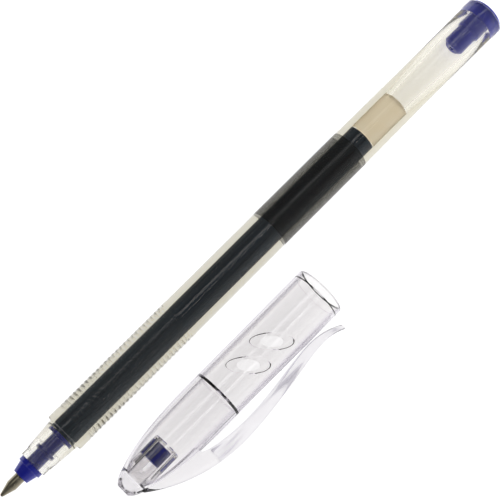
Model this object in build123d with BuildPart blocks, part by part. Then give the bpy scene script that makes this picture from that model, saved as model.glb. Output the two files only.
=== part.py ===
"""A capped gel pen, uncapped, with its cap lying beside it.

The pen lies along X with its writing point towards -X. The cap lies parallel to it on the -Y side,
closed end towards -X, the way round that it goes on. Both rest on the plane Z = 0, and the origin is
the middle of the whole set on that plane. Each piece is turned about the pen's axis or the cap's
axis: "station" is the distance along the axis, from the writing point or from the cap's closed end.
"""
from build123d import *
import os

# ---- driving dimensions, in millimetres -------------------------------------------------------
# barrel
PEN_LENGTH = 140.0          # writing point to the top of the tail plug
CREST_R = 4.43              # collar, rib crests, label and tail rim all reach this radius
GRIP_DROP = 0.05            # plain stretch between the ribs and the label, below the crests
WAIST_DROP = 0.16           # slimmest place, between the label and the tail rim
LABEL_FILM = 0.08           # shrink film over its seat in the barrel
SHOULDER_X = 16.9           # step from the clear nose up to the barrel
COLLAR_LENGTH = 2.6
RIB_LENGTH = 29.2
RIB_PITCH = 1.06
RIB_GROOVE_DEPTH = 0.12
RIB_GROOVE_WIDTH = 0.66
LABEL_X = 74.2
LABEL_LENGTH = 23.5
TAIL_TO_WAIST = 18.5
RIM_LENGTH = 2.5
EDGE_BREAK = 0.25

# clear nose of the barrel
NOSE_X = 8.5
NOSE_FRONT_R = 3.0
NOSE_STEP_X = 10.2
NOSE_STEP = 0.12
NOSE_REAR_R = 3.7

# bore, ink and follower
INK_BORE_R = 1.95
NOSE_BORE_R = 2.25
NOSE_BORE_END_X = 12.9
FOLLOWER_TO_FLARE = 0.6
TAIL_TO_FLARE = 7.5
TAIL_BORE_R = 2.95
INK_END_X = 101.2
FOLLOWER_LENGTH = 10.2
MENISCUS = 0.55             # how far the middle of the ink's end is hollowed
SLIDING_GAP = 0.02          # between the follower and the bore it wipes

# metal writing point and its ball
BALL_R = 0.25
BALL_GAP = 0.012
BALL_SHOWING = 0.13
LIP_WALL = 0.09
POINT_CONE_END_X = 2.9
POINT_R = 1.15
POINT_SHANK_R = 0.8
POINT_SHANK_LENGTH = 4.0
INK_DUCT_R = 0.45
INK_THROAT_R = 0.11
DUCT_END_X = 1.5

# tip holder
HOLDER_X = 5.2
HOLDER_FRONT_R = 1.75
HOLDER_REAR_R = 2.3
FLANGE_R = 2.65
FLANGE_LENGTH = 1.05
STEM_R = 1.62
RING_X = 12.0
RING_LENGTH = 0.6
RING_CLEARANCE = 0.03       # round the stem's ring, in the nose bore
HOLDER_END_X = 16.4
SEAL_LAND_LENGTH = 0.8

# tail plug
PLUG_HEAD_HEIGHT = 1.5      # domed head, standing out of the barrel
PLUG_STEM_DEPTH = 10.5      # front of the stem, from the barrel's flat end
PLUG_STEM_R = 2.25
PLUG_BODY_DEPTH = 5.7
PLUG_BODY_R = 2.7
PLUG_LAND_R = 2.8
PLUG_LAND_LENGTH = 2.5
PLUG_HEAD_R = 3.75
PLUG_HEAD_RIM = 0.45
VENT_R = 0.45

# cap
CAP_LENGTH = 55.6
CAP_END_R = 1.4             # blunt closed end
SEAT_CLEARANCE = 0.09       # round the barrel's collar, in the narrower bore that it slides into
MOUTH_CLEARANCE = 0.62      # round the barrel, in the wider bore
CAP_WALL = 0.5              # over the wider bore, at the step
CAP_FLARE = 0.09            # how much wider the outside is at the mouth than at the step
CAP_STEP_X = 26.0
CAP_FLOOR_X = 2.1
CAP_FLOOR_R = 1.6
BULLET_FULLNESS = 2.6       # outside of the closed end: how soon it swells, and how bluntly
BULLET_SWELL = 0.66
BORE_FULLNESS = 5.0         # the same for its inside
BORE_SWELL = 0.85
MOUTH_RELIEF_X = 53.7
MOUTH_RELIEF = 0.2
LIP_ROUND = 0.35
CAP_GAP = 5.78              # between the pen and the cap as they lie

# seal and the slotted socket that grips it
SEAL_X = 7.75
SEAL_LENGTH = 3.8
SEAL_R = 1.75
SEAL_CLEARANCE = 0.1        # round the metal point
SEAL_FLOOR = 0.8
SOCKET_R = 3.05
SOCKET_END_X = 12.3
SOCKET_FLOOR_X = 3.2
SOCKET_TAPER = 0.6
SOCKET_ROOT = 0.3           # how far its foot is sunk into the cap's floor
SOCKET_COLLAR = 0.2         # full width before the slots begin
SOCKET_SLOT = 0.8
SOCKET_SLOT_X = 5.4

# vents in the cap's upper wall
VENT_STATIONS = (33.9, 40.5)
VENT_SLANT = -45.0
VENT_LENGTH = 4.6
VENT_WIDTH = 2.3
VENT_SINK_LENGTH = 8.6
VENT_SINK_WIDTH = 3.1
VENT_SINK_DEPTH = 0.3

# clip
CLIP_WIDTH = 3.6
CLIP_ROOT_X = 17.5          # where the springy blade leaves its web
CLIP_TIP_X = 53.4
CLIP_BOW = 4.62             # highest point of the blade's outer edge above the cap
CLIP_TOUCH_GAP = 0.18       # at the heel, where the blade nearly meets the cap
CLIP_THICKNESS = 2.4
CLIP_TIP_THICKNESS = 1.1
CLIP_EDGE = 0.4
CLIP_CUT = 0.1              # slit between the blade and its web
CLIP_ROOT_DROP = 0.55       # outer edge at the root, below the highest point
CLIP_MIDDLE_DROP = 0.62     # outer edge before the middle, below the highest point
CLIP_HEEL_WAVE = 0.4        # outer edge before the heel, above it
CLIP_HEEL_DIP = 0.2         # outer edge after the heel, below it
CLIP_TIP_LIFT = 1.0
CLIP_ROOT_RISE = 0.7        # inner edge at the root, above the cap
CLIP_SHOULDER_EXTRA = 0.45  # how much thicker the blade is at its highest point
WEB_SHOULDER_DROP = 0.75    # web's outer edge near its start, below the cap's full radius
WEB_SHOULDER_RISE = 2.1     # and past its middle, above it
WEB_FILLET = 1.6            # foot of the web, before the root
WEB_FOOT = 0.6

# ---- places worked out from them --------------------------------------------------------------
GRIP_R = CREST_R - GRIP_DROP
WAIST_R = CREST_R - WAIST_DROP
LABEL_SEAT_R = CREST_R - LABEL_FILM
LABEL_END_X = LABEL_X + LABEL_LENGTH
RIB_START_X = SHOULDER_X + COLLAR_LENGTH
RIB_END_X = RIB_START_X + RIB_LENGTH
TAIL_FACE_X = PEN_LENGTH - PLUG_HEAD_HEIGHT
RIM_X = TAIL_FACE_X - RIM_LENGTH
WAIST_X = TAIL_FACE_X - TAIL_TO_WAIST
FOLLOWER_END_X = INK_END_X + FOLLOWER_LENGTH
FLARE_START_X = FOLLOWER_END_X + FOLLOWER_TO_FLARE
FLARE_END_X = TAIL_FACE_X - TAIL_TO_FLARE
PLUG_FRONT_X = TAIL_FACE_X - PLUG_STEM_DEPTH
PLUG_BODY_X = TAIL_FACE_X - PLUG_BODY_DEPTH
CAP_SEAT_R = CREST_R + SEAT_CLEARANCE
CAP_BORE_R = CREST_R + MOUTH_CLEARANCE
CAP_STEP_R = CAP_BORE_R + CAP_WALL
CAP_MOUTH_R = CAP_STEP_R + CAP_FLARE
CAP_STEP_END_X = CAP_STEP_X + CAP_BORE_R - CAP_SEAT_R      # the step is a 45 degree lead-in
SEAL_BORE_R = POINT_R + SEAL_CLEARANCE
CAP_DISTANCE = CREST_R + CAP_GAP + CAP_MOUTH_R
CLIP_REACH = CAP_STEP_R + CLIP_BOW
SET_WIDTH = CREST_R + CAP_DISTANCE + CLIP_REACH
PEN_Y = SET_WIDTH / 2 - CREST_R
CAP_Y = PEN_Y - CAP_DISTANCE
CAP_CLOSED_X = 17.1         # closed end's station along the pen, as the cap lies
POINT_X = -PEN_LENGTH / 2

pen_plane = Plane(origin=(POINT_X, PEN_Y, CREST_R), x_dir=(1, 0, 0), z_dir=(0, 0, 1))
cap_plane = Plane(
    origin=(POINT_X + CAP_CLOSED_X, CAP_Y, CAP_MOUTH_R), x_dir=(1, 0, 0), z_dir=(0, 0, 1)
)
# the clip's outline is drawn on a plane turned over, so that distance from the cap counts towards -Y
clip_plane = Plane(origin=cap_plane.origin, x_dir=(1, 0, 0), z_dir=(0, 0, -1))


def axis_of(plane):
    """The centre line that pieces drawn on this plane are turned about."""
    return Axis(plane.origin, plane.x_dir)


def turn(plane, points, mode=Mode.ADD):
    """Turn a closed outline of (station, radius) points about the plane's axis."""
    with BuildSketch(plane) as profile:
        with BuildLine():
            Polyline(*points, close=True)
        make_face()
    revolve(profile.sketch, axis=axis_of(plane), mode=mode)


def bullet(start_x, end_x, start_r, end_r, fullness, swell, count=8):
    """Points of a bullet-shaped curve that starts steep and ends nearly parallel to the axis."""
    points = []
    for i in range(count + 1):
        along = (i / count) ** 1.6
        rise = (1 - (1 - along) ** fullness) ** swell
        points.append((start_x + along * (end_x - start_x), start_r + rise * (end_r - start_r)))
    return points


# ---- barrel: one thick translucent tube that holds the ink itself -----------------------------
with BuildPart() as barrel:
    with BuildSketch(pen_plane):
        with BuildLine():
            Polyline(
                (NOSE_X, 0),
                (NOSE_X, NOSE_FRONT_R),
                (NOSE_STEP_X, NOSE_FRONT_R),
                (NOSE_STEP_X, NOSE_FRONT_R + NOSE_STEP),
                (SHOULDER_X, NOSE_REAR_R),
                (SHOULDER_X, CREST_R - EDGE_BREAK),
                (SHOULDER_X + EDGE_BREAK, CREST_R),
                (RIB_END_X, CREST_R),
                (RIB_END_X + EDGE_BREAK, GRIP_R),
                (LABEL_X, GRIP_R),
                (LABEL_X, LABEL_SEAT_R),
                (LABEL_END_X, LABEL_SEAT_R),
            )
            Spline(
                (LABEL_END_X, LABEL_SEAT_R),
                (WAIST_X, WAIST_R),
                (RIM_X - EDGE_BREAK, LABEL_SEAT_R),
                tangents=((1, 0), (1, 0)),
            )
            Polyline(
                (RIM_X - EDGE_BREAK, LABEL_SEAT_R),
                (RIM_X, CREST_R),
                (TAIL_FACE_X - EDGE_BREAK, CREST_R),
                (TAIL_FACE_X, CREST_R - EDGE_BREAK),
                (TAIL_FACE_X, 0),
                (NOSE_X, 0),
            )
        make_face()
    revolve(axis=axis_of(pen_plane))
    turn(
        pen_plane,
        (
            (NOSE_X, 0),
            (NOSE_X, NOSE_BORE_R),
            (NOSE_BORE_END_X, NOSE_BORE_R),
            (NOSE_BORE_END_X, INK_BORE_R),
            (FLARE_START_X, INK_BORE_R),
            (FLARE_END_X, TAIL_BORE_R),
            (TAIL_FACE_X - PLUG_LAND_LENGTH, TAIL_BORE_R),
            (TAIL_FACE_X - PLUG_LAND_LENGTH, PLUG_LAND_R),
            (TAIL_FACE_X, PLUG_LAND_R),
            (TAIL_FACE_X, 0),
        ),
        Mode.SUBTRACT,
    )
    # the grip: a row of fine rounded grooves, each cut by a wire that stands on the crest line
    groove_r = RIB_GROOVE_WIDTH**2 / (8 * RIB_GROOVE_DEPTH) + RIB_GROOVE_DEPTH / 2
    groove_count = int(RIB_LENGTH / RIB_PITCH)
    with BuildSketch(pen_plane):
        with Locations(
            *[
                (RIB_START_X + (i + 0.5) * RIB_PITCH, CREST_R + groove_r - RIB_GROOVE_DEPTH)
                for i in range(groove_count)
            ]
        ):
            Circle(groove_r)
    revolve(axis=axis_of(pen_plane), mode=Mode.SUBTRACT)
barrel.part.label = "barrel"

# ---- label: a sleeve of film shrunk into its seat ---------------------------------------------
with BuildPart() as barrel_label:
    turn(
        pen_plane,
        (
            (LABEL_X, LABEL_SEAT_R),
            (LABEL_X, CREST_R),
            (LABEL_END_X, CREST_R),
            (LABEL_END_X, LABEL_SEAT_R),
        ),
    )
barrel_label.part.label = "barrel_label"

# ---- ink, from the tip holder to the follower -------------------------------------------------
ink_r = INK_BORE_R - SLIDING_GAP
meniscus_r = (ink_r**2 + MENISCUS**2) / (2 * MENISCUS)
hollow_x = INK_END_X - MENISCUS
with BuildPart() as ink_column:
    with BuildSketch(pen_plane):
        with BuildLine():
            Polyline((hollow_x, 0), (HOLDER_END_X, 0), (HOLDER_END_X, ink_r), (INK_END_X, ink_r))
            RadiusArc((INK_END_X, ink_r), (hollow_x, 0), -meniscus_r)
        make_face()
    revolve(axis=axis_of(pen_plane))
ink_column.part.label = "ink_column"

# ---- grease follower that seals the ink and creeps after it ----------------------------------
with BuildPart() as ink_follower:
    with BuildSketch(pen_plane):
        with BuildLine():
            RadiusArc((INK_END_X, ink_r), (hollow_x, 0), -meniscus_r)
            Polyline((hollow_x, 0), (FOLLOWER_END_X, 0), (FOLLOWER_END_X, ink_r), (INK_END_X, ink_r))
        make_face()
    revolve(axis=axis_of(pen_plane))
ink_follower.part.label = "ink_follower"

# ---- metal writing point: cone, body and a shank pressed into the holder ---------------------
with BuildPart() as writing_tip:
    seat_r = BALL_R + BALL_GAP
    mouth_r = (seat_r**2 - (BALL_R - BALL_SHOWING) ** 2) ** 0.5
    throat_x = BALL_R + (seat_r**2 - INK_THROAT_R**2) ** 0.5
    shank_end_x = HOLDER_X + POINT_SHANK_LENGTH
    with BuildSketch(pen_plane):
        with BuildLine():
            # spherical seat that the ball turns in, closed over it by the lip
            ThreePointArc((BALL_SHOWING, mouth_r), (BALL_R, seat_r), (throat_x, INK_THROAT_R))
            Polyline(
                (throat_x, INK_THROAT_R),
                (DUCT_END_X, INK_THROAT_R),
                (DUCT_END_X, INK_DUCT_R),
                (shank_end_x, INK_DUCT_R),
                (shank_end_x, POINT_SHANK_R),
                (HOLDER_X, POINT_SHANK_R),
                (HOLDER_X, POINT_R),
                (POINT_CONE_END_X, POINT_R),
                (BALL_SHOWING, mouth_r + LIP_WALL),
                (BALL_SHOWING, mouth_r),
            )
        make_face()
    revolve(axis=axis_of(pen_plane))
writing_tip.part.label = "writing_tip"

# ---- the rolling ball -------------------------------------------------------------------------
with BuildPart() as tip_ball:
    with Locations(pen_plane.from_local_coords(Vector(BALL_R, 0, 0))):
        Sphere(BALL_R)
tip_ball.part.label = "tip_ball"

# ---- tip holder: cone and flange outside, ringed stem inside the clear nose ------------------
with BuildPart() as tip_holder:
    flange_x = NOSE_X - FLANGE_LENGTH
    turn(
        pen_plane,
        (
            (HOLDER_X, 0),
            (HOLDER_X, HOLDER_FRONT_R),
            (flange_x, HOLDER_REAR_R),
            (flange_x, FLANGE_R),
            (NOSE_X, FLANGE_R),
            (NOSE_X, STEM_R),
            (RING_X - RING_LENGTH / 2, STEM_R),
            (RING_X - RING_LENGTH / 2, NOSE_BORE_R - RING_CLEARANCE),
            (RING_X + RING_LENGTH / 2, NOSE_BORE_R - RING_CLEARANCE),
            (RING_X + RING_LENGTH / 2, STEM_R),
            (HOLDER_END_X - SEAL_LAND_LENGTH, STEM_R),
            (HOLDER_END_X - SEAL_LAND_LENGTH, INK_BORE_R),
            (HOLDER_END_X, INK_BORE_R),
            (HOLDER_END_X, 0),
        ),
    )
    turn(
        pen_plane,
        (
            (HOLDER_X, 0),
            (HOLDER_X, POINT_SHANK_R),
            (HOLDER_X + POINT_SHANK_LENGTH, POINT_SHANK_R),
            (HOLDER_X + POINT_SHANK_LENGTH, INK_DUCT_R),
            (HOLDER_END_X, INK_DUCT_R),
            (HOLDER_END_X, 0),
        ),
        Mode.SUBTRACT,
    )
tip_holder.part.label = "tip_holder"

# ---- tail plug: domed head outside, vented stem inside ---------------------------------------
with BuildPart() as tail_plug:
    head_rim_x = TAIL_FACE_X + PLUG_HEAD_RIM
    dome_rise = PEN_LENGTH - head_rim_x
    with BuildSketch(pen_plane):
        with BuildLine():
            Polyline(
                (PLUG_FRONT_X, 0),
                (PLUG_FRONT_X, PLUG_STEM_R - EDGE_BREAK * 3),
                (PLUG_FRONT_X + EDGE_BREAK * 3, PLUG_STEM_R),
                (PLUG_BODY_X, PLUG_STEM_R),
                (PLUG_BODY_X + EDGE_BREAK * 2, PLUG_BODY_R),
                (TAIL_FACE_X - PLUG_LAND_LENGTH, PLUG_BODY_R),
                (TAIL_FACE_X - PLUG_LAND_LENGTH, PLUG_LAND_R),
                (TAIL_FACE_X, PLUG_LAND_R),
                (TAIL_FACE_X, PLUG_HEAD_R),
                (head_rim_x, PLUG_HEAD_R),
            )
            RadiusArc(
                (head_rim_x, PLUG_HEAD_R),
                (PEN_LENGTH, 0),
                (PLUG_HEAD_R**2 + dome_rise**2) / (2 * dome_rise),
            )
            Line((PEN_LENGTH, 0), (PLUG_FRONT_X, 0))
        make_face()
    revolve(axis=axis_of(pen_plane))
    turn(
        pen_plane,
        (
            (PLUG_FRONT_X, 0),
            (PLUG_FRONT_X, VENT_R),
            (PEN_LENGTH, VENT_R),
            (PEN_LENGTH, 0),
        ),
        Mode.SUBTRACT,
    )
tail_plug.part.label = "tail_plug"


# ---- clip outline, shared by the web on the cap and the blade --------------------------------
def clip_station(share):
    """Station along the cap, at a share of the blade's length."""
    return CLIP_ROOT_X + share * (CLIP_TIP_X - CLIP_ROOT_X)


heel_outer = CAP_MOUTH_R + CLIP_TOUCH_GAP + CLIP_THICKNESS - CLIP_EDGE
outer_edge = [
    (clip_station(0), CLIP_REACH - CLIP_ROOT_DROP),
    (clip_station(0.18), CLIP_REACH),
    (clip_station(0.43), CLIP_REACH - CLIP_MIDDLE_DROP),
    (clip_station(0.70), heel_outer + CLIP_HEEL_WAVE),
    (clip_station(0.84), heel_outer - CLIP_HEEL_DIP),
    (CLIP_TIP_X, heel_outer + CLIP_TIP_LIFT),
]
inner_edge = [
    (clip_station(0), CAP_STEP_R + CLIP_ROOT_RISE),
    (clip_station(0.20), CLIP_REACH - CLIP_THICKNESS - CLIP_SHOULDER_EXTRA),
    (clip_station(0.43), CLIP_REACH - CLIP_MIDDLE_DROP - CLIP_THICKNESS),
    (clip_station(0.70), CAP_MOUTH_R + CLIP_TOUCH_GAP + CLIP_HEEL_DIP),
    (clip_station(0.82), CAP_MOUTH_R + CLIP_TOUCH_GAP),
    (CLIP_TIP_X, heel_outer + CLIP_TIP_LIFT - CLIP_TIP_THICKNESS),
]

# ---- shape of the sunk ovals round the vents, which follow the cap's round ---------------------
vent_top = cap_plane.offset(CAP_MOUTH_R)
with BuildPart() as vent_sinks:
    for station in VENT_STATIONS:
        with BuildSketch(vent_top):
            with Locations(Location((station, 0, 0), (0, 0, VENT_SLANT))):
                Ellipse(VENT_SINK_LENGTH / 2, VENT_SINK_WIDTH / 2)
        extrude(amount=-CAP_MOUTH_R)
    sink_floor_r = CAP_STEP_R - VENT_SINK_DEPTH
    turn(
        cap_plane,
        ((0, 0), (0, sink_floor_r), (CAP_LENGTH, sink_floor_r), (CAP_LENGTH, 0)),
        Mode.SUBTRACT,
    )

# ---- cap: shell with its web for the clip, a stepped bore and a slotted socket for the seal ---
outer_curve = bullet(0, CAP_STEP_X, CAP_END_R, CAP_STEP_R, BULLET_FULLNESS, BULLET_SWELL)
inner_curve = bullet(CAP_FLOOR_X, CAP_STEP_X, CAP_FLOOR_R, CAP_SEAT_R, BORE_FULLNESS, BORE_SWELL)
with BuildPart() as cap_shell:
    with BuildSketch(cap_plane):
        with BuildLine():
            Polyline((0, 0), (0, CAP_END_R))
            Spline(*outer_curve)
            Polyline(
                (CAP_STEP_X, CAP_STEP_R),
                (CAP_LENGTH - LIP_ROUND, CAP_MOUTH_R),
                (CAP_LENGTH, CAP_MOUTH_R - LIP_ROUND),
                (CAP_LENGTH, 0),
                (0, 0),
            )
        make_face()
    revolve(axis=axis_of(cap_plane))
    # web: fills the corner between the bullet and the root of the blade
    with BuildSketch(clip_plane):
        with BuildLine():
            Spline(
                (CAP_END_R * 0.5, CAP_END_R * 1.2),
                (CLIP_ROOT_X * 0.28, CAP_STEP_R - WEB_SHOULDER_DROP),
                (CLIP_ROOT_X * 0.6, CAP_STEP_R + WEB_SHOULDER_RISE),
                outer_edge[0],
            )
            Polyline(
                outer_edge[0],
                inner_edge[0],
                (CLIP_ROOT_X - WEB_FILLET, CAP_STEP_R + CLIP_TOUCH_GAP / 4),
                (CLIP_ROOT_X - WEB_FILLET - WEB_FOOT, CAP_SEAT_R),
                (CLIP_ROOT_X * 0.3, CAP_END_R),
                (CAP_END_R * 0.5, CAP_END_R * 1.2),
            )
        make_face()
    extrude(amount=CLIP_WIDTH / 2, both=True)
    # bore, in its two diameters
    with BuildSketch(cap_plane):
        with BuildLine():
            Polyline((CAP_FLOOR_X, 0), (CAP_FLOOR_X, CAP_FLOOR_R))
            Spline(*inner_curve)
            Polyline(
                (CAP_STEP_X, CAP_SEAT_R),
                (CAP_STEP_END_X, CAP_BORE_R),
                (MOUTH_RELIEF_X, CAP_BORE_R),
                (MOUTH_RELIEF_X + MOUTH_RELIEF, CAP_BORE_R + MOUTH_RELIEF),
                (CAP_LENGTH, CAP_BORE_R + MOUTH_RELIEF),
                (CAP_LENGTH, 0),
                (CAP_FLOOR_X, 0),
            )
        make_face()
    revolve(axis=axis_of(cap_plane), mode=Mode.SUBTRACT)
    # socket: a tube on the floor of the cap, split by a cross slot into four fingers
    turn(
        cap_plane,
        (
            (CAP_FLOOR_X - SOCKET_ROOT, 0),
            (CAP_FLOOR_X - SOCKET_ROOT, CAP_FLOOR_R),
            (SOCKET_FLOOR_X, SOCKET_R - SOCKET_TAPER),
            (SOCKET_SLOT_X - SOCKET_COLLAR, SOCKET_R),
            (SOCKET_END_X, SOCKET_R),
            (SOCKET_END_X, SEAL_R),
            (SOCKET_FLOOR_X, SEAL_R),
            (SOCKET_FLOOR_X, 0),
        ),
    )
    slot_length = SOCKET_END_X - SOCKET_SLOT_X
    slot_centre = cap_plane.from_local_coords(Vector(SOCKET_SLOT_X + slot_length / 2, 0, 0))
    slot_width = 2 * (SOCKET_R + SLIDING_GAP)
    with Locations(slot_centre):
        Box(slot_length, slot_width, SOCKET_SLOT, mode=Mode.SUBTRACT)
        Box(slot_length, SOCKET_SLOT, slot_width, mode=Mode.SUBTRACT)
    # vents: a long shallow oval with a shorter oval through its floor
    add(vent_sinks.part, mode=Mode.SUBTRACT)
    for station in VENT_STATIONS:
        with BuildSketch(vent_top):
            with Locations(Location((station, 0, 0), (0, 0, VENT_SLANT))):
                Ellipse(VENT_LENGTH / 2, VENT_WIDTH / 2)
        extrude(amount=-CAP_MOUTH_R, mode=Mode.SUBTRACT)
cap_shell.part.label = "cap_shell"

# ---- clip blade -------------------------------------------------------------------------------
with BuildPart() as cap_clip:
    blade_start = CLIP_ROOT_X + CLIP_CUT
    with BuildSketch(clip_plane):
        with BuildLine():
            Spline(*outer_edge)
            Line(outer_edge[-1], inner_edge[-1])
            Spline(*reversed(inner_edge))
            Line(inner_edge[0], outer_edge[0])
        make_face()
    extrude(amount=CLIP_WIDTH / 2, both=True)
    split(bisect_by=Plane(cap_plane.from_local_coords(Vector(blade_start, 0, 0)), z_dir=(1, 0, 0)))
cap_clip.part.label = "cap_clip"

# ---- soft seal that closes over the writing point --------------------------------------------
with BuildPart() as cap_seal:
    turn(
        cap_plane,
        (
            (SEAL_X, 0),
            (SEAL_X, SEAL_R),
            (SEAL_X + SEAL_LENGTH, SEAL_R),
            (SEAL_X + SEAL_LENGTH, SEAL_BORE_R),
            (SEAL_X + SEAL_FLOOR, SEAL_BORE_R),
            (SEAL_X + SEAL_FLOOR, 0),
        ),
    )
cap_seal.part.label = "cap_seal"

os.makedirs("parts", exist_ok=True)
for piece in (
    barrel,
    barrel_label,
    ink_column,
    ink_follower,
    writing_tip,
    tip_ball,
    tip_holder,
    tail_plug,
    cap_shell,
    cap_clip,
    cap_seal,
):
    export_step(piece.part, f"parts/{piece.part.label}.step")
    print(piece.part.label, round(piece.part.volume, 3), "mm3")
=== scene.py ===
# %% [markdown]
# # A capped gel pen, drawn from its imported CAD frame
# The pen lies uncapped with its clear cap beside it. The CAD model settles every size and place, so
# this lesson only adds what a camera sees: fine round surfaces, clear plastics, ink, print film and
# turned metal. Everything is in metres, in the frame of the CAD model.

# %% Load the frame
import math

import bmesh
import bpy
from mathutils import Matrix, Vector


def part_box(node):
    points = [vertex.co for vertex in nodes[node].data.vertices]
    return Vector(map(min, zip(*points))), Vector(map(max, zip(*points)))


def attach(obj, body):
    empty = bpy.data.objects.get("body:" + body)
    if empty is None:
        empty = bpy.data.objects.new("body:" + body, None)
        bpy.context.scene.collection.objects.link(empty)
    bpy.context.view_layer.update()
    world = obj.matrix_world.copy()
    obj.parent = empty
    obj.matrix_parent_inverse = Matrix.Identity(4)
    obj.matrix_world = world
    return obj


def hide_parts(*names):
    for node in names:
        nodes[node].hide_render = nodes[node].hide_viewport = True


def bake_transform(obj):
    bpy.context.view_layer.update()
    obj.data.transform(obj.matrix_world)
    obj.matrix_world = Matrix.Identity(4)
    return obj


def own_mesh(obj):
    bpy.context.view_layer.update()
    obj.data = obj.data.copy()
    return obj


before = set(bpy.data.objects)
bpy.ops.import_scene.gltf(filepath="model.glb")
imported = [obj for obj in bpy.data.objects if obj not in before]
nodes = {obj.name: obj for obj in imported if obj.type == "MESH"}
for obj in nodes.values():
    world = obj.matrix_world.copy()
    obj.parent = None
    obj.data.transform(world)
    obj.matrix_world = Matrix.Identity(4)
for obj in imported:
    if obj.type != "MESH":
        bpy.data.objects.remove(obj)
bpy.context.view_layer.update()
MM = 0.001
print("nodes:", ", ".join(sorted(nodes)))

# %% [markdown]
# ## The two centre lines
# Every piece of the pen is round about one line and every piece of the cap about another. Both lines
# run along X, so the middle of a round node's box in Y and Z gives its line. A "station" is the
# distance along X from the writing point, or from the cap's closed end.


# %% Centre lines and stations
class CentreLine:
    """A line along X that pieces are turned about, with stations counted from its start."""

    def __init__(self, round_node, start_node):
        low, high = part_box(round_node)
        self.y = (low.y + high.y) / 2
        self.z = (low.z + high.z) / 2
        self.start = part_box(start_node)[0].x

    def point(self, station, radius=0.0, angle=0.0):
        """The place in the frame of a station, a radius and an angle counted from +Y towards +Z."""
        return Vector((
            self.start + station,
            self.y + radius * math.cos(angle),
            self.z + radius * math.sin(angle),
        ))


pen_line = CentreLine("barrel", "tip_ball")
cap_line = CentreLine("cap_seal", "cap_shell")
print("pen line at y, z (mm):", round(pen_line.y / MM, 3), round(pen_line.z / MM, 3))
print("cap line at y, z (mm):", round(cap_line.y / MM, 3), round(cap_line.z / MM, 3))

# %% [markdown]
# ## Reading a turned piece's outline
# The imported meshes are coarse: a few dozen flats round the pen, which clear plastic would show. But
# each was turned from an outline, and that outline is still there, where the mesh meets the half
# plane on the +Y side of its centre line. So the outline is read back from there and turned again,
# as finely as it needs.


# %% Read the outline of a node
def outline_of(node, line):
    """The (station, radius) points of a turned node's outline, in order along it."""
    mesh = bmesh.new()
    mesh.from_mesh(nodes[node].data)
    bmesh.ops.remove_doubles(mesh, verts=mesh.verts, dist=1e-7)
    near = 2e-6
    on_seam = {
        v for v in mesh.verts
        if abs(v.co.z - line.z) < near and v.co.y > line.y - near
    }
    links = {v: [] for v in on_seam}
    for edge in mesh.edges:
        a, b = edge.verts
        if a in on_seam and b in on_seam:
            links[a].append(b)
            links[b].append(a)
    ends = [v for v in on_seam if len(links[v]) == 1]
    first = min(ends or on_seam, key=lambda v: (v.co.x, v.co.y))
    path, previous, here = [first], None, first
    while True:
        ahead = [v for v in links[here] if v is not previous and v is not first]
        if len(path) > 1 and not ahead or len(path) > len(on_seam):
            break
        if len(path) == 1 and len(ahead) == 2:
            ahead = sorted(ahead, key=lambda v: v.co.y)[-1:]
        if not ahead:
            break
        previous, here = here, ahead[0]
        path.append(here)
    points = [(v.co.x - line.start, max(v.co.y - line.y, 0.0)) for v in path]
    mesh.free()
    return points, not ends


def turned_outline(node, line, nudge=None, rounding=0.04 * MM):
    """A node's outline, nudged point by point if asked, with its sharp corners softened."""
    points, closed = outline_of(node, line)
    if nudge:
        points = [nudge(*point) for point in points]
    if not closed:
        points = [(points[0][0], 0.0)] * (points[0][1] > 1e-7) + points
        points = points + [(points[-1][0], 0.0)] * (points[-1][1] > 1e-7)
    return soften(points, closed, rounding), closed


# %% [markdown]
# ## Softening and turning
# Nothing moulded or turned has a corner of no size: each one catches a thin line of light. Corners
# of the outline are therefore cut by a small arc before it is turned, and the mesh is told to shade
# smoothly everywhere except across a ring where the outline still bends sharply.


# %% Soften an outline's corners
def bend(a, b, c):
    """The angle that an outline turns by at b, in radians."""
    first, second = Vector((b[0] - a[0], b[1] - a[1])), Vector((c[0] - b[0], c[1] - b[1]))
    if first.length < 1e-9 or second.length < 1e-9:
        return 0.0
    return abs(first.angle_signed(second))


def soften(points, closed, radius, steps=3):
    """Replace each corner that turns by over 30 degrees by a short curve."""
    result = []
    count = len(points)
    for i, here in enumerate(points):
        if not closed and i in (0, count - 1):
            result.append(here)
            continue
        before, after = points[i - 1], points[(i + 1) % count]
        turn = bend(before, here, after)
        if turn < math.radians(30) or radius <= 0:
            result.append(here)
            continue
        at = Vector(here)
        back, ahead = Vector(before) - at, Vector(after) - at
        cut = min(radius, back.length * 0.4, ahead.length * 0.4)
        start, end = at + back.normalized() * cut, at + ahead.normalized() * cut
        for step in range(steps + 1):
            t = step / steps
            point = start * (1 - t) ** 2 + at * 2 * t * (1 - t) + end * t**2
            result.append((point.x, max(point.y, 0.0)))
    return result


# %% Turn an outline into a mesh
def finish_mesh(name, mesh, sharp=35):
    """Turn a bmesh into an object with outward faces, smooth but for its sharp edges."""
    bmesh.ops.recalc_face_normals(mesh, faces=mesh.faces)
    limit = math.radians(sharp)
    for edge in mesh.edges:
        edge.smooth = len(edge.link_faces) == 2 and edge.calc_face_angle(0) < limit
    for face in mesh.faces:
        face.smooth = True
    data = bpy.data.meshes.new(name)
    mesh.to_mesh(data)
    mesh.free()
    piece = bpy.data.objects.new(name, data)
    bpy.context.scene.collection.objects.link(piece)
    return piece


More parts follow.
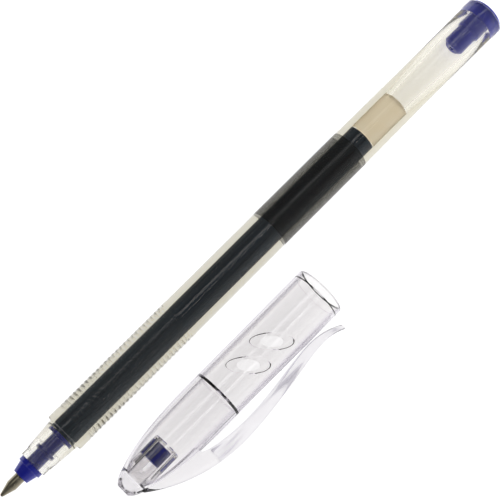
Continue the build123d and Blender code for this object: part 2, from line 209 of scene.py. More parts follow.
def turn_mesh(points, closed, line, segments=160):
    """A bmesh of an outline turned once round its centre line."""
    mesh = bmesh.new()
    rings = []
    for station, radius in points:
        if radius < 1e-7:
            rings.append([mesh.verts.new(line.point(station))])
        else:
            rings.append([
                mesh.verts.new(line.point(station, radius, math.tau * k / segments))
                for k in range(segments)
            ])
    pairs = list(zip(rings, rings[1:])) + ([(rings[-1], rings[0])] if closed else [])
    for a, b in pairs:
        for k in range(segments):
            corners = [a[k % len(a)], a[(k + 1) % len(a)], b[(k + 1) % len(b)], b[k % len(b)]]
            corners = list(dict.fromkeys(corners))
            if len(corners) > 2:
                mesh.faces.new(corners)
    return mesh


def turned(name, node, body, line, nudge=None, rounding=0.04 * MM, segments=160):
    """A fine copy of a turned CAD node, riding where it rides and standing for it."""
    points, closed = turned_outline(node, line, nudge, rounding)
    piece = finish_mesh(name, turn_mesh(points, closed, line, segments))
    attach(piece, body)
    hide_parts(node)
    print(name, "turned from", len(points), "points,", len(piece.data.polygons), "faces")
    return piece


# %% [markdown]
# ## The barrel and what is inside it
# Light bends as it leaves the thick wall, so whatever touches the bore looks half as wide again as
# it is, and whatever stands clear of it in air looks its true size. That is real, and the renderer
# does it by itself, provided that pieces in contact share no doubtful surface: the ink is let into
# the wall by a hundredth or two of a millimetre, and the loose pieces stay clear.

# %% Barrel
CONTACT = 0.02 * MM
bore_r = (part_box("ink_column")[1].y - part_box("ink_column")[0].y) / 2
barrel = turned("barrel_clear", "barrel", "pen", pen_line, rounding=0.05 * MM, segments=256)

# %% Ink and follower


def into_the_wall(station, radius):
    """Push points that lie on the bore a little way into the barrel's wall."""
    return station, radius + 2 * CONTACT if radius > bore_r - CONTACT / 2 else radius


ink = turned("ink_column_fine", "ink_column", "pen", pen_line, into_the_wall, 0.3 * MM)
follower = turned("ink_follower_fine", "ink_follower", "follower", pen_line, into_the_wall, 0.3 * MM)
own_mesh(ink)

# %% Tip holder, point and ball
holder_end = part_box("tip_holder")[1].x - pen_line.start
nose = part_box("barrel")[0].x - pen_line.start
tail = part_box("barrel")[1].x - pen_line.start


def holder_fit(station, radius):
    """Clear of the nose's end face, and pressed into the bore at the rear land."""
    if abs(station - nose) < 1e-6:
        station -= CONTACT
    if station > holder_end - 1 * MM and radius > 1.8 * MM:
        radius += CONTACT
    return station, radius


def plug_fit(station, radius):
    """Pressed into the tail's land, and clear of the barrel's end face."""
    if abs(station - tail) < 1e-6:
        return (station, radius + CONTACT) if radius < 3 * MM else (station + CONTACT, radius)
    if tail - station < 2.6 * MM and radius > 2.75 * MM:
        radius += CONTACT
    return station, radius


holder = turned("tip_holder_fine", "tip_holder", "pen", pen_line, holder_fit, 0.06 * MM)
point = turned("writing_tip_fine", "writing_tip", "pen", pen_line, None, 0.03 * MM)
plug = turned("tail_plug_fine", "tail_plug", "pen", pen_line, plug_fit, 0.08 * MM)
ball_low, ball_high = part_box("tip_ball")
ball_r = (ball_high.x - ball_low.x) / 2
arc = [
    (ball_r - ball_r * math.cos(math.pi * i / 48), ball_r * math.sin(math.pi * i / 48))
    for i in range(49)
]
ball = finish_mesh("tip_ball_fine", turn_mesh(arc, False, pen_line, 96))
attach(ball, "ball")
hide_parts("tip_ball")


# %% Label
def film_fit(station, radius):
    """The film stands a hair off its seat, so that the two surfaces never coincide."""
    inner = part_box("barrel_label")[1].z - pen_line.z - 0.04 * MM
    return station, radius + CONTACT if radius < inner else radius


label = turned("barrel_label_fine", "barrel_label", "pen", pen_line, film_fit, 0.02 * MM, 256)

# %% [markdown]
# ## The cap
# The cap is one moulding of clear plastic, built the way its mould would cut it. A solid bullet gets
# the clip's web, then the cavity is taken out, the fingers of the seal's socket are put back, and the
# two slanted vents are cut. The clip's blade is a piece of its own, lofted along its curve. It meets its web
# on a face that light must not notice, so that one face gets a material that isn't there.


# %% Boolean helper
def combine(base, other, operation):
    """Apply one exact boolean to base and remove the other object."""
    tool = base.modifiers.new(operation.lower(), "BOOLEAN")
    tool.operation = operation
    tool.solver = "EXACT"
    tool.object = other
    bpy.context.view_layer.update()
    evaluated = base.evaluated_get(bpy.context.evaluated_depsgraph_get())
    result = bpy.data.meshes.new_from_object(evaluated)
    base.modifiers.clear()
    base.data = result
    bpy.data.objects.remove(other)
    return base


# %% Edges of the clip
def side_edge(node, low_side):
    """How far a clip node's flat side reaches from the cap's line, at each station, as sorted points."""
    reach = {}
    for vertex in nodes[node].data.vertices:
        station = round((vertex.co.x - cap_line.start) / MM, 3) * MM
        away = cap_line.y - vertex.co.y
        if abs(abs(vertex.co.z - cap_line.z) - clip_half) > 1e-6 or away < 1 * MM:
            continue
        best = reach.get(station, away)
        reach[station] = min(best, away) if low_side else max(best, away)
    return sorted(reach.items())


def read_at(edge, station):
    """An edge's reach at a station, between the two points beside it."""
    stations = [s for s, _ in edge]
    if station <= stations[0]:
        return edge[0][1]
    for (s0, r0), (s1, r1) in zip(edge, edge[1:]):
        if s0 <= station <= s1:
            return r0 + (r1 - r0) * (station - s0) / max(s1 - s0, 1e-12)
    return edge[-1][1]


clip_low, clip_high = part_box("cap_clip")
clip_half = (clip_high.z - clip_low.z) / 2
blade_start = clip_low.x - cap_line.start
blade_end = clip_high.x - cap_line.start
blade_points = sorted({
    (round((v.co.x - cap_line.start) / MM, 4) * MM, round((cap_line.y - v.co.y) / MM, 4) * MM)
    for v in nodes["cap_clip"].data.vertices
})
NEARBY = 1.5 * MM


def middle_of_blade(station):
    """The mean reach of the blade's points near a station, which parts its two edges."""
    near = [reach for at, reach in blade_points if abs(at - station) < NEARBY]
    return sum(near) / max(1, len(near))


blade_outer = [p for p in blade_points if p[1] > middle_of_blade(p[0])]
blade_inner = [p for p in blade_points if p[1] <= middle_of_blade(p[0])]
web_outer = side_edge("cap_shell", low_side=False)
print("blade from", round(blade_start / MM, 2), "to", round(blade_end / MM, 2), "mm;",
      len(blade_outer), "outer and", len(blade_inner), "inner points")


# %% Loft a bar through rounded sections
BLADE_ROUND_OUT, BLADE_ROUND_IN = 1.15 * MM, 0.4 * MM


def section(station, inner, outer, half, round_out, round_in):
    """A rounded rectangle across the clip, as points once round it."""
    room = min((outer - inner) / 2, half) * 0.95
    round_out, round_in = min(round_out, room), min(round_in, room)
    ring = []
    for corner, (reach, turn_in, up) in enumerate((
        (outer, -round_out, 1), (inner, round_in, 1), (inner, round_in, -1), (outer, -round_out, -1),
    )):
        rounding = abs(turn_in)
        for step in range(7):
            angle = math.radians(90 * (corner + step / 6))
            ring.append(Vector((
                cap_line.start + station,
                cap_line.y - (reach + turn_in + rounding * math.cos(angle)),
                cap_line.z + up * (half - rounding) + rounding * math.sin(angle),
            )))
    return ring


def loft(name, sections):
    """A closed bar through rings of equal count."""
    mesh = bmesh.new()
    rings = [[mesh.verts.new(place) for place in ring] for ring in sections]
    for a, b in zip(rings, rings[1:]):
        for k in range(len(a)):
            mesh.faces.new([a[k], a[(k + 1) % len(a)], b[(k + 1) % len(b)], b[k]])
    mesh.faces.new(rings[0])
    mesh.faces.new(reversed(rings[-1]))
    return finish_mesh(name, mesh)


# %% Outer form of the cap, with the clip's web
shell_points, _ = outline_of("cap_shell", cap_line)
mouth = max(range(len(shell_points)), key=lambda i: shell_points[i][0])
cap_length = shell_points[mouth][0]
outside = [(0.0, 0.0)] + shell_points[: mouth + 1] + [(cap_length, 0.0)]
inside = [(cap_length + 1 * MM, 0.0), (cap_length + 1 * MM, shell_points[mouth + 1][1])]
inside += shell_points[mouth + 1:]
socket_floor = inside[-1][0]
inside.append((socket_floor, 0.0))
ROUND = 160


def outer_radius(station):
    """The bullet's outer radius at a station."""
    return read_at(outside[1:-1], station)


root = web_outer[-1][0]
CLEAR_OF_WALL = 0.12 * MM
web_top = []
for station, away in web_outer:
    if away > max(outer_radius(station) + CLEAR_OF_WALL, web_top[-1][1] if web_top else 0):
        web_top.append((station, away))
under_root = read_at(blade_inner, root)
web_under = [p for p in side_edge("cap_shell", True) if root - 3 * MM < p[0] < root]
web_under = [p for p in web_under if 0 < p[1] - outer_radius(p[0]) < 1 * MM]
web_under = [(web_under[0][0] - 1 * MM, 1.5 * MM)] + web_under + [(root, under_root)]
LIP_SOFTENING = 0.3 * MM
bullet = soften(outside, False, LIP_SOFTENING)
shell = finish_mesh("cap_shell_fine", turn_mesh(bullet, False, cap_line, ROUND))
WEB_STEPS = 44
WEB_LEAD = 1 * MM
WEB_SUNK = 0.2 * MM
web_sections = []
for i in range(WEB_STEPS + 1):
    station = web_top[0][0] - WEB_LEAD + (root - web_top[0][0] + WEB_LEAD) * i / WEB_STEPS
    started = station > web_top[0][0]
    top = read_at(web_top, station) if started else outer_radius(station) - WEB_SUNK
    under = read_at(web_under, station)
    web_sections.append(section(station, under, top, clip_half, BLADE_ROUND_OUT, BLADE_ROUND_IN))
shell = combine(shell, loft("web", web_sections), "UNION")
print("bullet and web:", len(shell.data.polygons), "faces; web stands",
      round(web_top[-1][1] / MM, 2), "mm out")

# %% Cavity and the seal's socket
shell = combine(shell, finish_mesh("cavity", turn_mesh(inside, False, cap_line, ROUND)), "DIFFERENCE")
base_end = max(p[0] for p in inside[-5:])
socket_r = max(p[1] for p in inside[-5:])
finger_end = max(
    v.co.x for v in nodes["cap_shell"].data.vertices
    if v.co.x < cap_line.start + 20 * MM
    and math.hypot(v.co.y - cap_line.y, v.co.z - cap_line.z) < socket_r + 1e-6
) - cap_line.start
seal_r = (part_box("cap_seal")[1].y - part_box("cap_seal")[0].y) / 2
SLOT_HALF = 0.4 * MM
FINGER_ROOT = 0.15 * MM
FINGER_BEVEL, FINGER_BEVEL_LENGTH = 0.15 * MM, 0.2 * MM
FINGER_ARC = 12
print("socket fingers from", round(base_end / MM, 2), "to", round(finger_end / MM, 2), "mm")


def finger(quarter):
    """One finger of the socket: a quarter tube with flat sides along the slots."""
    inner, outer = seal_r + CONTACT, socket_r - CONTACT
    edge_in, edge_out = math.asin(SLOT_HALF / inner), math.asin(SLOT_HALF / outer)
    rings = []
    for station, taper in (
        (base_end - FINGER_ROOT, 0), (finger_end - FINGER_BEVEL_LENGTH, 0), (finger_end, FINGER_BEVEL)
    ):
        ring = []
        for radius, edge, order in ((outer - taper, edge_out, 1), (inner, edge_in, -1)):
            for k in range(FINGER_ARC + 1)[::order]:
                angle = edge + (math.pi / 2 - 2 * edge) * k / FINGER_ARC
                ring.append(cap_line.point(station, radius, angle + quarter * math.pi / 2))
        rings.append(ring)
    return loft("finger", rings)


for quarter in range(4):
    shell = combine(shell, finger(quarter), "UNION")

# %% Read the vents
bore_in_cap = min(radius for _, radius in inside[1:5])
step = min(station for station, radius in inside[1:] if radius > bore_in_cap - 1e-6)
wall = [
    (v.co.copy(), math.hypot(v.co.y - cap_line.y, v.co.z - cap_line.z))
    for v in nodes["cap_shell"].data.vertices
    if step + 1 * MM < v.co.x - cap_line.start < cap_length - 4 * MM and v.co.z > cap_line.z
]
floor_r = min(r for _, r in wall if r > bore_in_cap + 0.05 * MM)
on_bore = [p for p, r in wall if r < bore_in_cap + 0.01 * MM]
on_floor = [p for p, r in wall if abs(r - floor_r) < 0.01 * MM]


def split_by_station(places):
    """Points of the two vents, parted at the middle of their stations."""
    half = (min(p.x for p in places) + max(p.x for p in places)) / 2
    return [[p for p in places if (p.x > half) == far] for far in (False, True)]


def oval_of(places):
    """Centre, half length, half width and slant of the slanted oval that bounds some points."""
    centre = Vector((
        (min(p.x for p in places) + max(p.x for p in places)) / 2,
        (min(p.y for p in places) + max(p.y for p in places)) / 2,
    ))
    far = max(places, key=lambda p: (p.xy - centre).length)
    along = (far.xy - centre).normalized()
    across = Vector((-along.y, along.x))
    return (centre, (far.xy - centre).length, max(abs((p.xy - centre).dot(across)) for p in places), along)


vents = [
    (oval_of(bore), oval_of(rim))
    for bore, rim in zip(split_by_station(on_bore), split_by_station(on_floor))
]
for through, sunk in vents:
    print("vent at station", round((through[0].x - cap_line.start) / MM, 2), "through",
          round(2 * through[1] / MM, 2), "by", round(2 * through[2] / MM, 2), "in a hollow of",
          round(2 * sunk[1] / MM, 2), "by", round(2 * sunk[2] / MM, 2), "mm")

# %% Cut the vents


def oval_cutter(oval, bottom, flare=0.0, top=2.0 * MM, rings=8, around=72):
    """A slanted oval plug whose underside follows a given depth, and that widens upwards by a flare."""
    centre, half_length, half_width, along = oval
    across = Vector((-along.y, along.x))
    mesh = bmesh.new()

    def place(share, k, height):
        angle = math.tau * k / around
        flat = centre + share * (
            along * half_length * math.cos(angle) + across * half_width * math.sin(angle))
        return mesh.verts.new((flat.x, flat.y, height(flat.y - cap_line.y, share)))

    under = [[place(0, 0, bottom)]]
    under += [[place(ring / rings, k, bottom) for k in range(around)] for ring in range(1, rings + 1)]
    half_length, half_width = half_length + flare, half_width + flare
    lid = [place(1, k, lambda y, share: cap_line.z + floor_r + top) for k in range(around)]
    for a, b in zip(under, under[1:] + [lid]):
        for k in range(around):
            corners = [a[k % len(a)], b[k], b[(k + 1) % around], a[(k + 1) % len(a)]]
            mesh.faces.new(list(dict.fromkeys(corners)))
    mesh.faces.new(lid)
    return finish_mesh("vent_cutter", mesh)


RIM_EASE = 0.06 * MM
VENT_FLARE = 2.0 * MM


def hollow(y, share):
    """The hollow's floor: round like the cap, easing up to its rim."""
    return cap_line.z + math.sqrt((floor_r + RIM_EASE * share**4) ** 2 - y**2)


def right_through(y, share):
    """Deep enough to come out in the bore."""
    return cap_line.z + bore_in_cap * 0.6


for through, sunk in vents:
    shell = combine(shell, oval_cutter(sunk, hollow, flare=VENT_FLARE), "DIFFERENCE")
    shell = combine(shell, oval_cutter(through, right_through), "DIFFERENCE")


# %% Shade the cap by angle
def shade_by_angle(piece, sharp=32):
    """Smooth a boolean's result but for the edges where it really turns."""
    mesh = bmesh.new()
    mesh.from_mesh(piece.data)
    bmesh.ops.remove_doubles(mesh, verts=mesh.verts, dist=2e-6)
    bmesh.ops.dissolve_degenerate(mesh, edges=mesh.edges, dist=1e-6)
    limit = math.radians(sharp)
    for edge in mesh.edges:
        edge.smooth = len(edge.link_faces) == 2 and edge.calc_face_angle(0) < limit
    for face in mesh.faces:
        face.smooth = True
    mesh.to_mesh(piece.data)
    open_edges = sum(1 for edge in mesh.edges if len(edge.link_faces) != 2)
    mesh.free()
    print(piece.name, len(piece.data.polygons), "faces,", open_edges, "open edges")


shade_by_angle(shell)
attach(shell, "cap")
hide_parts("cap_shell")

# %% Blade of the clip
BLADE_STEPS = 90
TIP_NARROWS, TIP_NARROWS_OVER = 0.5 * MM, 4 * MM
blade_top = [(root, web_top[-1][1])] + blade_outer
blade_sections = []
for i in range(BLADE_STEPS + 1):
    station = root + (blade_end - root) * i / BLADE_STEPS
    narrowing = max(0.0, 1 - (blade_end - station) / TIP_NARROWS_OVER) ** 2
    blade_sections.append(section(
        station, read_at(blade_inner, station), read_at(blade_top, station),
        clip_half - narrowing * TIP_NARROWS, BLADE_ROUND_OUT, BLADE_ROUND_IN,
    ))
clip = loft("cap_clip_fine", blade_sections)
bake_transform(clip)
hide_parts("cap_clip")

# %% Seal
seal = turned("cap_seal_fine", "cap_seal", "cap", cap_line, None, 0.12 * MM)

# %% [markdown]
# ## Effects that several finishes share
# Real surfaces are never even. Three effects turn up on more than one piece here: the hairlines and
# smudges that handling leaves, the slow waviness of plastic that cooled in a mould, and fine rings
# from a lathe or a print roller. Each is built once as a node group, with its own inputs, and every
# finish places it with its own values. All of them read the place on the piece in millimetres.


# %% Node helpers
def add(tree, kind, inputs=None, **settings):
    """Add a node, set its plain settings, and set or link its inputs."""
    node = tree.nodes.new("ShaderNode" + kind)
    for key, value in settings.items():
        setattr(node, key, value)
    for key, value in (inputs or {}).items():
        if isinstance(value, bpy.types.NodeSocket):
            tree.links.new(value, node.inputs[key])
        else:
            node.inputs[key].default_value = value
    return node


def new_group(name, inputs, outputs):
    """Start a shader node group with named number sockets."""
    tree = bpy.data.node_groups.new(name, "ShaderNodeTree")
    for label, value in inputs.items():
        socket = tree.interface.new_socket(label, in_out="INPUT", socket_type="NodeSocketFloat")
        socket.default_value = value
    for label in outputs:
        tree.interface.new_socket(label, in_out="OUTPUT", socket_type="NodeSocketFloat")
    return tree, tree.nodes.new("NodeGroupInput"), tree.nodes.new("NodeGroupOutput")


def in_millimetres(tree, stretch=(1, 1, 1), turn=(0, 0, 0)):
    """The place on the piece in millimetres, stretched and turned if asked."""
    place = add(tree, "TexCoord").outputs["Object"]
    return add(tree, "Mapping", {
        "Vector": place, "Scale": [1000 * s for s in stretch], "Rotation": turn,
    }).outputs["Vector"]


# %% Handling marks
marks, marks_in, marks_out = new_group(
    "handling_marks", {"Hairlines": 0.4, "Smudges": 0.4}, ["Mask", "Height"])
hairlines = None
for turn, stretch in (((0.0, 0.0, 0.3), (0.25, 9, 9)), ((0.2, 0.1, 2.2), (0.3, 7, 7))):
    noise = add(marks, "TexNoise", {"Vector": in_millimetres(marks, stretch, turn), "Detail": 2.0})
    thin = add(marks, "MapRange", {
        "Value": noise.outputs["Fac"], "From Min": 0.70, "From Max": 0.78}).outputs["Result"]
    hairlines = thin if hairlines is None else add(
        marks, "Math", {0: hairlines, 1: thin}, operation="MAXIMUM").outputs[0]
hairlines = add(marks, "Math", {
    0: hairlines, 1: marks_in.outputs["Hairlines"]}, operation="MULTIPLY").outputs[0]
cloud = add(marks, "TexNoise", {"Vector": in_millimetres(marks), "Scale": 0.22, "Detail": 5.0})
smudge = add(marks, "MapRange", {
    "Value": cloud.outputs["Fac"], "From Min": 0.42, "From Max": 0.72}).outputs["Result"]
smudge = add(marks, "Math", {0: smudge, 1: marks_in.outputs["Smudges"]}, operation="MULTIPLY").outputs[0]
both = add(marks, "Math", {0: hairlines, 1: smudge}, operation="ADD", use_clamp=True).outputs[0]
marks.links.new(both, marks_out.inputs["Mask"])
marks.links.new(hairlines, marks_out.inputs["Height"])

# %% Waviness of moulded plastic
ripple, ripple_in, ripple_out = new_group("mould_waviness", {"Size": 3.0, "Along": 0.4}, ["Height"])
share = add(ripple, "Math", {0: 1.0, 1: ripple_in.outputs["Size"]}, operation="DIVIDE").outputs[0]
long_share = add(ripple, "Math", {0: share, 1: ripple_in.outputs["Along"]}, operation="MULTIPLY").outputs[0]
scale = add(ripple, "CombineXYZ", {"X": long_share, "Y": share, "Z": share}).outputs["Vector"]
place = add(ripple, "VectorMath", {0: in_millimetres(ripple), 1: scale}, operation="MULTIPLY")
waves = add(ripple, "TexNoise", {"Vector": place.outputs["Vector"], "Scale": 1.0, "Detail": 1.5})
ripple.links.new(waves.outputs["Fac"], ripple_out.inputs["Height"])

# %% Fine rings round the pen
rings, rings_in, rings_out = new_group("fine_rings", {"Per mm": 2.0, "Unevenness": 0.5}, ["Bands"])
station = add(rings, "SeparateXYZ", {"Vector": in_millimetres(rings)}).outputs["X"]
wander = add(rings, "TexNoise", {"W": station, "Scale": 1.7, "Detail": 3.0}, noise_dimensions="1D")
wander = add(rings, "Math", {
    0: wander.outputs["Fac"], 1: rings_in.outputs["Unevenness"]}, operation="MULTIPLY").outputs[0]
turns = add(rings, "Math", {0: station, 1: rings_in.outputs["Per mm"]}, operation="MULTIPLY").outputs[0]
turns = add(rings, "Math", {0: turns, 1: wander}, operation="ADD").outputs[0]
phase = add(rings, "Math", {0: turns, 1: math.tau}, operation="MULTIPLY").outputs[0]
wave = add(rings, "Math", {0: phase}, operation="SINE").outputs[0]
band = add(rings, "MapRange", {"Value": wave, "From Min": -1.0, "From Max": 1.0}).outputs["Result"]
rings.links.new(band, rings_out.inputs["Bands"])
print("shared effects:", ", ".join(group.name for group in bpy.data.node_groups))


# %% [markdown]
# ## Finishes
# Each finish is one Principled shader. Its plain numbers sit on its own sockets. What changes over
# the surface comes in through the shared effects: they raise the roughness a little where hands have
# been, and tilt the surface a little where the mould or the lathe left its mark.


# %% Start a finish
class Finish:
    """A material round one Principled shader, with places for the shared effects."""

    def __init__(self, name, colour, roughness, **numbers):
        self.material = bpy.data.materials.new(name)
        self.material.use_nodes = True
        self.tree = self.material.node_tree
        self.shader = self.tree.nodes["Principled BSDF"]
        self.shader.inputs["Base Color"].default_value = (*colour, 1)
        self.shader.inputs["Roughness"].default_value = roughness
        for label, value in numbers.items():
            self.shader.inputs[label.replace("_", " ")].default_value = value
        self.normal = None

    def effect(self, group, **inputs):
        """Place a shared effect with its own values."""
        node = self.tree.nodes.new("ShaderNodeGroup")
        node.node_tree = group
        for label, value in inputs.items():
            node.inputs[label.replace("_", " ")].default_value = value
        return node.outputs

    def spread(self, mask, low, high):
        """A mask laid out between two numbers."""
        return add(self.tree, "MapRange", {"Value": mask, "To Min": low, "To Max": high}).outputs["Result"]

    def roughness(self, mask, low, high):
        """Let a mask change the roughness."""
        self.tree.links.new(self.spread(mask, low, high), self.shader.inputs["Roughness"])
        return self

    def colours(self, mask, low, high):
        """Let a mask change the colour between two."""
        mix = add(self.tree, "Mix", {"Factor": mask, "A": (*low, 1), "B": (*high, 1)}, data_type="RGBA")
        self.tree.links.new(mix.outputs[2], self.shader.inputs["Base Color"])
        return self

    def bump(self, height, depth, strength=1.0):
        """Tilt the surface by a height, whose full range is a real depth in metres."""
        inputs = {"Height": height, "Distance": depth, "Strength": strength}
        if self.normal is not None:
            inputs["Normal"] = self.normal
        self.normal = add(self.tree, "Bump", inputs).outputs["Normal"]
        self.tree.links.new(self.normal, self.shader.inputs["Normal"])
        return self

    def tint_inside(self, colour, density):
        """Let the plastic take light away along its way through, density per metre."""
        inside = add(self.tree, "VolumeAbsorption", {"Color": (*colour, 1), "Density": density})
        self.tree.links.new(inside.outputs["Volume"], self.tree.nodes["Material Output"].inputs["Volume"])
        return self

    def on(self, *pieces):
        """Give the finish to pieces and return it."""
        for piece in pieces:
            piece.data.materials.append(self.material)
        return self


# %% [markdown]
# ### Clear plastics
# The barrel is a cream tube that takes a little blue out of the light along its way through, and
# scatters about a fiftieth of it. The cap is a harder and clearer plastic that bends light more, with
# a faint cold tint. Its colour is painted darker where it is seen edge on, as painted shade for the dark
# edges of bent light, and the clip's blade also has long faint streaks of painted shade along the
# waviness that the mould left on it.

# %% Barrel and cap
clear_barrel = Finish("barrel_clear", (0.97, 0.965, 0.96), 0.06, IOR=1.49, Transmission_Weight=0.98)
worn = clear_barrel.effect(marks, Hairlines=0.4, Smudges=0.4)
clear_barrel.roughness(worn["Mask"], 0.05, 0.14)
clear_barrel.bump(clear_barrel.effect(ripple, Size=2.6, Along=0.04)["Height"], 0.008 * MM, 0.5).on(barrel)
clear_barrel.tint_inside((0.58, 0.53, 0.32), 115.0)

clear_cap = Finish("cap_clear", (0.90, 0.89, 0.895), 0.01, IOR=1.57, Transmission_Weight=1.0)
worn = clear_cap.effect(marks, Hairlines=0.35, Smudges=0.3)
clear_cap.roughness(worn["Mask"], 0.0, 0.05)
clear_cap.bump(clear_cap.effect(ripple, Size=3.5, Along=0.3)["Height"], 0.012 * MM, 0.7).on(shell)
clear_clip = Finish("clip_clear", (0.90, 0.89, 0.895), 0.01, IOR=1.57, Transmission_Weight=1.0)
waviness_and_painted_streaks = clear_clip.effect(ripple, Size=1.1, Along=0.06)["Height"]
clear_clip.roughness(clear_clip.effect(marks, Hairlines=0.35, Smudges=0.3)["Mask"], 0.0, 0.06)
clear_clip.bump(waviness_and_painted_streaks, 0.12 * MM).on(clip)
# Painted shade: dark streaks laid into the blade's colour where its waviness rises; the same waviness also
# tilts the surface for real.
streaks = add(clear_clip.tree, "MapRange", {
    "Value": waviness_and_painted_streaks, "From Min": 0.5, "From Max": 0.66, "To Max": 0.75}).outputs["Result"]
# Painted shade: each clear finish is painted towards a dark colour where it is seen edge on, and the blade
# also along its streaks.
for finish, painted_streak_shade, face_on, painted_edge_shade in (
    (clear_cap, 0.0, (0.925, 0.915, 0.915), (0.34, 0.31, 0.40)),
    (clear_clip, streaks, (0.93, 0.92, 0.93), (0.24, 0.22, 0.29)),
):
    painted_edge_amount = add(finish.tree, "LayerWeight", {"Blend": 0.5}).outputs["Facing"]
    painted_edge_amount = add(finish.tree, "MapRange", {"Value": painted_edge_amount, "From Min": 0.3, "From Max": 0.9}).outputs["Result"]
    painted_shade_mask = add(finish.tree, "Math", {0: painted_edge_amount, 1: painted_streak_shade}, operation="MAXIMUM").outputs[0]
    finish.colours(painted_shade_mask, face_on, painted_edge_shade)
    finish.tint_inside((0.46, 0.42, 0.50), 50.0)

# %% The joint inside the moulding that light doesn't see
Finish("moulding_joint", (1, 1, 1), 0.5, Alpha=0.0).on(shell, clip)
root_x = cap_line.start + root
for piece in (shell, clip):
    joint_faces = [
        face for face in piece.data.polygons
        if all(abs(piece.data.vertices[i].co.x - root_x) < 2e-6 for i in face.vertices)
    ]
    for face in joint_faces:
        face.material_index = 1
    print(piece.name, "joint faces:", len(joint_faces))

# %% [markdown]
# ### Ink, grease and film
# The ink is nearly black and touches the bore, so its surface is the bore's. It wets the wall
# unevenly, which leaves long faint streaks. The follower is a pale grease. The label is a thin
# printed film: even grey ink in fine hoops, with the clear barrel showing between and through them.

# %% Ink, follower and label
black_ink = Finish("ink_black", (0.012, 0.017, 0.024), 0.3, IOR=1.4, Specular_IOR_Level=0.08)
streak = black_ink.effect(ripple, Size=0.9, Along=0.03)["Height"]
streak = black_ink.spread(streak, -1.2, 2.2)
black_ink.colours(streak, (0.006, 0.016, 0.032), (0.016, 0.034, 0.060))
black_ink.roughness(streak, 0.22, 0.45).on(ink)

grease = Finish(
    "pale_grease", (0.92, 0.87, 0.75), 0.5, IOR=1.3, Transmission_Weight=0.96, Specular_IOR_Level=0.1)
cloudy = grease.effect(ripple, Size=1.8, Along=0.6)["Height"]
grease.colours(grease.spread(cloudy, -0.8, 1.8), (0.95, 0.84, 0.66), (0.99, 0.90, 0.75)).on(follower)

film = Finish("label_film_grey", (0.10, 0.10, 0.085), 0.35, IOR=1.5)
hoops = film.effect(rings, Per_mm=1.9, Unevenness=0.25)["Bands"]
film.colours(hoops, (0.012, 0.012, 0.011), (0.020, 0.020, 0.018))
film_cover = film.spread(hoops, 0.36, 0.44)
film.tree.links.new(film_cover, film.shader.inputs["Alpha"])
worn = film.effect(marks, Hairlines=0.3, Smudges=0.4)
film.roughness(worn["Mask"], 0.22, 0.28).on(label)

# %% [markdown]
# ### Blue parts and metal
# The tip holder, the tail plug and the seal are coloured through, the plug a paler blue than the
# holder. The point is turned nickel silver, with the rings of the tool still on it, and its ball is a
# dull hard carbide.

# %% Blue plastic, rubber and metal
blue = Finish("blue_moulded", (0.006, 0.012, 0.34), 0.2, IOR=1.5)
worn = blue.effect(marks, Hairlines=0.5, Smudges=0.5)
blue.roughness(worn["Mask"], 0.14, 0.36)
blue.colours(worn["Mask"], (0.004, 0.009, 0.34), (0.014, 0.022, 0.42))
blue.bump(blue.effect(ripple, Size=1.4, Along=1.0)["Height"], 0.01 * MM).on(holder)

plug_blue = Finish("blue_plug", (0.06, 0.07, 0.7), 0.25, IOR=1.5)
worn = plug_blue.effect(marks, Hairlines=0.5, Smudges=0.5)
plug_blue.roughness(worn["Mask"], 0.18, 0.4)
plug_blue.colours(worn["Mask"], (0.050, 0.060, 0.68), (0.090, 0.100, 0.76))
plug_blue.bump(plug_blue.effect(ripple, Size=1.4, Along=1.0)["Height"], 0.01 * MM).on(plug)

rubber = Finish("blue_rubber", (0.006, 0.014, 0.56), 0.45, IOR=1.45, Specular_IOR_Level=0.2)
cloudy = rubber.effect(ripple, Size=0.7, Along=1.0)["Height"]
rubber.colours(cloudy, (0.004, 0.010, 0.50), (0.012, 0.022, 0.66)).bump(cloudy, 0.02 * MM).on(seal)

silver = Finish("nickel_silver", (0.26, 0.23, 0.17), 0.2, Metallic=1.0)
lathe = silver.effect(rings, Per_mm=9.0, Unevenness=2.0)["Bands"]
worn = silver.effect(marks, Hairlines=0.4, Smudges=0.6)
silver.roughness(worn["Mask"], 0.14, 0.3).colours(lathe, (0.20, 0.18, 0.13), (0.32, 0.29, 0.22))
silver.bump(lathe, 0.004 * MM).on(point)

carbide = Finish("dull_carbide", (0.33, 0.34, 0.36), 0.35, Metallic=1.0)
worn = carbide.effect(marks, Hairlines=1.0, Smudges=1.0)
carbide.roughness(worn["Mask"], 0.3, 0.5).on(ball)
print("finishes:", ", ".join(material.name for material in bpy.data.materials if material.users))

# %% [markdown]
# ## Floor and light
# The pen and its cap lie on a white light table. A glowing floor leaves almost no shadow and fills
# clear plastic with light from below, so that its form shows as dark edges where the plastic bends
# the dim horizon into view; on the cap and its clip, painted shade in the plastic's colour deepens
# those edges. A broad soft light and a thin one, both overhead, give the long highlights. The table
# glows a little less on the cap's side.

# %% Floor
FLOOR_HALF = 4.0
mesh = bmesh.new()
corners = [(-1, -1), (1, -1), (1, 1), (-1, 1)]
mesh.faces.new([mesh.verts.new((FLOOR_HALF * x, FLOOR_HALF * y, -0.02 * MM)) for x, y in corners])
floor = finish_mesh("light_table", mesh)
table_top = Finish(
    "light_table_white", (0.86, 0.86, 0.86), 0.6, Emission_Color=(1, 1, 1, 1), Emission_Strength=0.98)
grain = add(table_top.tree, "TexNoise", {"Scale": 1000.0, "Detail": 3.0})
table_top.roughness(grain.outputs["Fac"], 0.5, 0.7).on(floor)
across_table = add(table_top.tree, "SeparateXYZ", {"Vector": in_millimetres(table_top.tree)}).outputs["Y"]
across_table = add(table_top.tree, "MapRange", {
    "Value": across_table, "From Min": -15.0, "From Max": 25.0}).outputs["Result"]
even = add(table_top.tree, "Mix", {
    "Factor": across_table, "A": (0.86, 0.86, 0.86, 1), "B": (1, 1, 1, 1)}, data_type="RGBA")
table_top.tree.links.new(even.outputs[2], table_top.shader.inputs["Emission Color"])


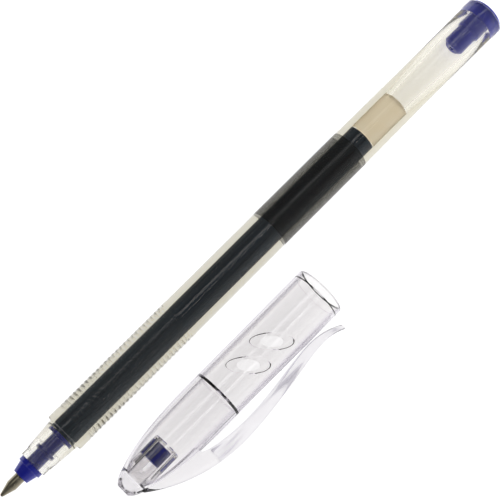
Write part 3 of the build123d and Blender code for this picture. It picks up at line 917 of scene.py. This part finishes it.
# %% Lights
def soft_light(name, place, aim, width, height, watts):
    """A rectangular soft light at a place, facing a point."""
    data = bpy.data.lights.new(name, "AREA")
    data.shape = "RECTANGLE"
    data.size, data.size_y, data.energy = width, height, watts
    lamp = bpy.data.objects.new(name, data)
    bpy.context.scene.collection.objects.link(lamp)
    lamp.location = place
    lamp.rotation_euler = (Vector(aim) - Vector(place)).to_track_quat("-Z", "Y").to_euler()
    return lamp


SET_RADIUS = 0.8


def from_zenith(degrees_to_y, degrees_to_x=0.0):
    """A place on the studio's dome, by how far it leans from straight up."""
    lean_y, lean_x = math.radians(degrees_to_y), math.radians(degrees_to_x)
    return Vector((math.tan(lean_x), math.tan(lean_y), 1)).normalized() * SET_RADIUS


middle_of_set = (0, 0, 5 * MM)
soft_light("long_box", from_zenith(23, 10), middle_of_set, 1.1, 0.15, 0.65)
soft_light("thin_strip", from_zenith(-9, 10), middle_of_set, 1.1, 0.012, 0.16)

# %% World
world = bpy.data.worlds.new("studio")
world.use_nodes = True
bpy.context.scene.world = world
sky = world.node_tree
direction = add(sky, "SeparateXYZ", {"Vector": add(sky, "TexCoord").outputs["Generated"]})
sides = add(sky, "MapRange", {
    "Value": direction.outputs["Y"], "From Min": -0.8, "From Max": 0.8, "To Min": 0.8, "To Max": 0.2})
ceiling = add(sky, "MapRange", {
    "Value": direction.outputs["Z"], "From Min": 0.5, "From Max": 0.9, "To Min": 1.0, "To Max": 0.3})
glow = add(sky, "Math", {0: sides.outputs["Result"], 1: ceiling.outputs["Result"]}, operation="MULTIPLY")
sky.links.new(glow.outputs[0], sky.nodes["Background"].inputs["Strength"])
sky.nodes["Background"].inputs["Color"].default_value = (1, 1, 1, 1)

# %% [markdown]
# ## Camera
# The camera looks almost straight down, a little from the writing end, and is turned so that the pen
# crosses the frame from corner to corner. A long lens from a third of a metre keeps it nearly
# parallel. The view transform is the plain one, so that white stays white.

# %% Camera
CAMERA_TILT = math.radians(10.7)
CAMERA_ROLL = math.radians(44.83)
CAMERA_DISTANCE = 0.326
LENS = 117.6
aim = pen_line.point(68.42 * MM)
along = Vector((math.cos(CAMERA_TILT), 0, math.sin(CAMERA_TILT)))
away = Vector((-math.sin(CAMERA_TILT), 0, math.cos(CAMERA_TILT)))
side = Vector((0, 1, 0))
right = along * math.cos(CAMERA_ROLL) - side * math.sin(CAMERA_ROLL)
up = along * math.sin(CAMERA_ROLL) + side * math.cos(CAMERA_ROLL)
camera_data = bpy.data.cameras.new("camera")
camera_data.lens = LENS
camera_data.sensor_width = 36
camera_data.shift_x, camera_data.shift_y = 0.0015, -0.0015
camera_data.clip_start, camera_data.clip_end = 0.01, 20
camera = bpy.data.objects.new("camera", camera_data)
bpy.context.scene.collection.objects.link(camera)
turned_to_view = Matrix((right, up, away)).transposed().to_4x4()
camera.matrix_world = Matrix.Translation(aim + away * CAMERA_DISTANCE) @ turned_to_view
bpy.context.scene.camera = camera
bpy.context.scene.view_settings.view_transform = "Standard"

# %% Let light through several walls
cycles = bpy.context.scene.cycles
cycles.max_bounces, cycles.transmission_bounces, cycles.transparent_max_bounces = 24, 20, 16
cycles.glossy_bounces, cycles.diffuse_bounces = 8, 4
cycles.caustics_refractive = True
